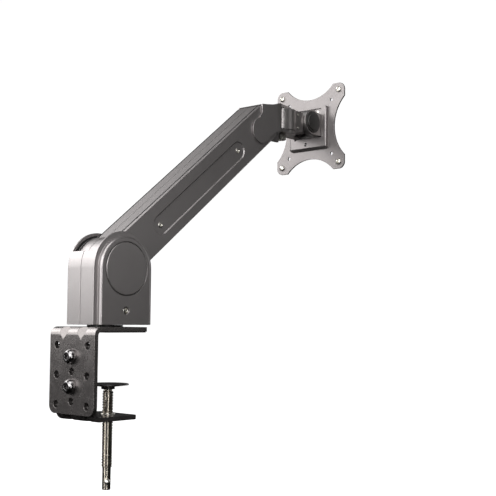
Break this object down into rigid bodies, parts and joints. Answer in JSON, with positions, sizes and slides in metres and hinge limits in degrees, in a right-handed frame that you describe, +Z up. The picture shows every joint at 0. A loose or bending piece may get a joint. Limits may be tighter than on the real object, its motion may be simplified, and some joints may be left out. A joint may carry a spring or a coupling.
{
  "type": "monitor arm",
  "caption": "Gas-spring desk arm for one flat screen, on a screw clamp for the desk's edge, with a swivelling, tilting head and a scooped square screen plate.",
  "frame": {"origin": "on the clamp screw's axis, on the underside of the pad that rests on the desk", "axes": "+X forward from the desk's edge along the arm, +Y to the arm's left, +Z up out of the desk"},
  "size_m": [0.429, 0.119, 0.514],
  "materials": {
    "powder_coat": "satin, fine texture",
    "head_paint": "satin",
    "plate_paint": "satin, fine texture",
    "arm_paint": "satin",
    "housing_plastic": "satin",
    "black_plastic": "satin",
    "foam_rubber": "matte",
    "zinc_steel": "satin",
    "bright_steel": "bright",
    "black_steel": "semi-gloss",
    "black_bolt": "gloss",
    "chrome_rod": "polished",
    "bush_brass": "satin"
  },
  "bodies": {
    "clamp": {"upper_bracket": "powder_coat", "desk_pad": "foam_rubber", "lower_jaw": "powder_coat", "jaw_nut": "bright_steel", "jaw_bolts": "black_bolt", "jaw_bolt_nuts": "bright_steel", "swivel_post": "bright_steel", "swivel_disc": "black_plastic", "post_washer": "bright_steel", "post_nut": "bright_steel"},
    "pressure_pad": {"pressure_disc": "black_steel"},
    "clamp_screw": {"screw_rod": "bright_steel"},
    "tommy": {"tommy_bar": "bright_steel"},
    "base": {"base_frame": "zinc_steel", "swivel_bush": "black_plastic", "housing_left": "housing_plastic", "housing_right": "housing_plastic", "pivot_cap_left": "housing_plastic", "pivot_cap_right": "housing_plastic", "housing_screws": "black_bolt", "lower_shaft": "bright_steel", "lower_washers": "bright_steel", "lower_nuts": "bright_steel", "link_pin_lower": "bright_steel", "spring_pin_lower": "bright_steel"},
    "link": {"parallel_link": "zinc_steel"},
    "arm": {"arm_shell_left": "arm_paint", "arm_shell_right": "arm_paint", "arm_channel": "zinc_steel", "arm_screws": "black_bolt", "lower_bushes": "bush_brass", "upper_bushes": "bush_brass", "spring_pin_upper": "bright_steel"},
    "spring_cylinder": {"gas_cylinder": "black_steel", "gas_gland": "black_plastic"},
    "spring_rod": {"gas_rod": "chrome_rod", "rod_eye": "bright_steel"},
    "head": {"yoke": "head_paint", "head_cover_left": "housing_plastic", "head_cover_right": "housing_plastic", "upper_shaft": "bright_steel", "link_pin_upper": "bright_steel", "head_pin": "bright_steel", "head_pin_nut": "bright_steel"},
    "knuckle_body": {"knuckle": "head_paint", "knuckle_screws": "bright_steel"},
    "tilt_head": {"tilt_block": "head_paint", "tilt_bolt": "bright_steel", "tilt_nut": "bright_steel", "tilt_cap_left": "black_plastic", "tilt_cap_right": "black_plastic", "receiver": "plate_paint", "receiver_screw": "bright_steel", "receiver_rivets": "bright_steel", "screen_plate": "plate_paint", "screen_screws": "bright_steel"}
  },
  "joints": [
    {"name": "clamp_travel", "type": "slide", "parent": "clamp", "child": "pressure_pad", "axis": [0, 0, 1], "range_m": [-0.024, 0.048]},
    {"name": "screw_turn", "type": "hinge", "parent": "pressure_pad", "child": "clamp_screw", "pos_m": [0, 0, -0.1], "axis": [0, 0, 1], "range_deg": [-2882, 5762]},
    {"name": "tommy_slide", "type": "slide", "parent": "clamp_screw", "child": "tommy", "axis": [0.6046, 0.7965, 0], "range_m": [-0.009, 0.009]},
    {"name": "base_swivel", "type": "hinge", "parent": "clamp", "child": "base", "pos_m": [-0.006, 0, 0.008], "axis": [0, 0, 1], "range_deg": [-180, 180]},
    {"name": "arm_lift", "type": "hinge", "parent": "base", "child": "arm", "pos_m": [0, 0, 0.07], "axis": [0, -1, 0], "range_deg": [-60, 20]},
    {"name": "link_swing", "type": "hinge", "parent": "base", "child": "link", "pos_m": [-0.00278, 0, 0.08576], "axis": [0, -1, 0], "range_deg": [-60.5, 20.5]},
    {"name": "head_level", "type": "hinge", "parent": "arm", "child": "head", "pos_m": [0.2325, 0, 0.25964], "axis": [0, -1, 0], "range_deg": [-20.5, 60.5]},
    {"name": "spring_swing", "type": "hinge", "parent": "arm", "child": "spring_cylinder", "pos_m": [0.2016, 0, 0.23744], "axis": [0, -1, 0], "range_deg": [-1, 2]},
    {"name": "spring_stroke", "type": "slide", "parent": "spring_cylinder", "child": "spring_rod", "axis": [-0.7324, 0, -0.6809], "range_m": [-0.0185, 0.0065]},
    {"name": "head_swivel", "type": "hinge", "parent": "head", "child": "knuckle_body", "pos_m": [0.295, 0, 0.28], "axis": [0, 0, 1], "range_deg": [-90, 90]},
    {"name": "tilt", "type": "hinge", "parent": "knuckle_body", "child": "tilt_head", "pos_m": [0.336, 0, 0.28604], "axis": [0, -1, 0], "range_deg": [-30, 80]}
  ],
  "couplings": [
    {"joint": "screw_turn", "follows": "clamp_travel", "rad_per_m": 2094.4},
    {"joint": "link_swing", "follows": "arm_lift", "ratio": 1},
    {"joint": "head_level", "follows": "arm_lift", "ratio": -1},
    {"joint": "spring_swing", "follows": "arm_lift", "ratio": -0.028},
    {"joint": "spring_stroke", "follows": "arm_lift", "m_per_rad": 0.01725}
  ]
}
